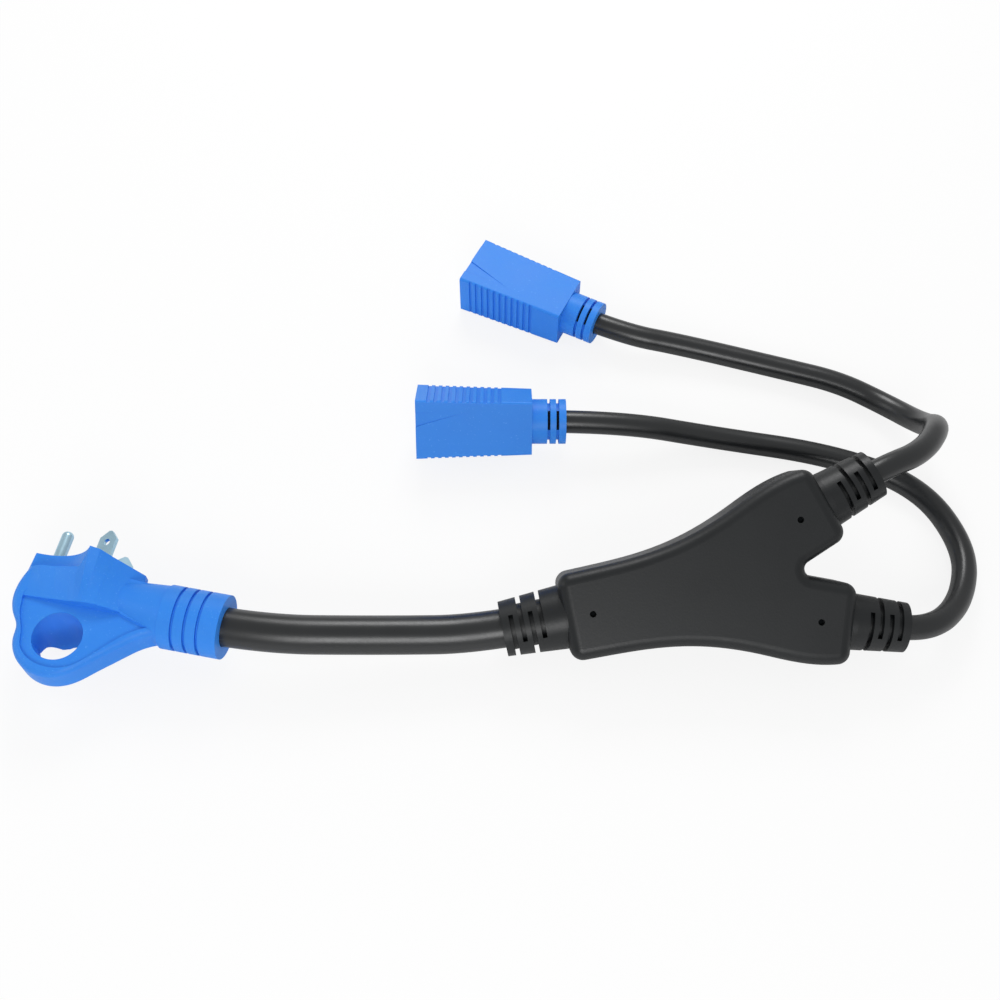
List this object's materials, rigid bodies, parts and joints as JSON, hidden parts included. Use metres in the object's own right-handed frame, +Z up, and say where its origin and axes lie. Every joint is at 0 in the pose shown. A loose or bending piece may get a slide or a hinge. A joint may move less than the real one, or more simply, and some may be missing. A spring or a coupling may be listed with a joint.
{
  "type": "power adapter dogbone",
  "caption": "Y power adapter: right-angle blue plug with a finger-ring handle, black cord, Y splitter box, and blue ribbed female connectors on branch cords",
  "frame": {"origin": "bottom centre of the box round the rigid pieces, on the table it lies on", "axes": "X runs from the plug to the branch outlets, Y away from the viewer, Z up"},
  "size_m": [0.4129, 0.2338, 0.0624],
  "materials": {
    "blue_plastic": "satin moulded PVC",
    "black_plastic": "fine matt moulded PVC",
    "cord_jacket": "smooth satin jacket",
    "white_plastic": "smooth moulded insert",
    "nickel": "nickel plated brass",
    "brass": "spring brass",
    "splice_sleeve": "shrunk sleeve",
    "wire_black": "conductor insulation",
    "wire_white": "conductor insulation",
    "wire_green": "conductor insulation"
  },
  "bodies": {
    "root": {"arm_a_wire_ground": "wire_green", "arm_a_wire_hot": "wire_black", "arm_a_wire_neutral": "wire_white", "arm_b_wire_ground": "wire_green", "arm_b_wire_hot": "wire_black", "arm_b_wire_neutral": "wire_white", "branch_cord_a": "cord_jacket", "branch_cord_b": "cord_jacket", "connector_a_contact_ground": "brass", "connector_a_contact_hot": "brass", "connector_a_contact_neutral": "brass", "connector_a_insert": "white_plastic", "connector_a_shell": "blue_plastic", "connector_a_wire_ground": "wire_green", "connector_a_wire_hot": "wire_black", "connector_a_wire_neutral": "wire_white", "connector_b_contact_ground": "brass", "connector_b_contact_hot": "brass", "connector_b_contact_neutral": "brass", "connector_b_insert": "white_plastic", "connector_b_shell": "blue_plastic", "connector_b_wire_ground": "wire_green", "connector_b_wire_hot": "wire_black", "connector_b_wire_neutral": "wire_white", "main_cord": "cord_jacket", "plug_blade_hot": "nickel", "plug_blade_neutral": "nickel", "plug_bridge": "blue_plastic", "plug_grip": "blue_plastic", "plug_ground_pin": "nickel", "plug_wire_ground": "wire_green", "plug_wire_hot": "wire_black", "plug_wire_neutral": "wire_white", "splice_ground": "splice_sleeve", "splice_hot": "splice_sleeve", "splice_neutral": "splice_sleeve", "strain_relief_a": "black_plastic", "strain_relief_b": "black_plastic", "strain_relief_trunk": "black_plastic", "trunk_wire_ground": "wire_green", "trunk_wire_hot": "wire_black", "trunk_wire_neutral": "wire_white", "y_box": "black_plastic"}
  },
  "joints": []
}
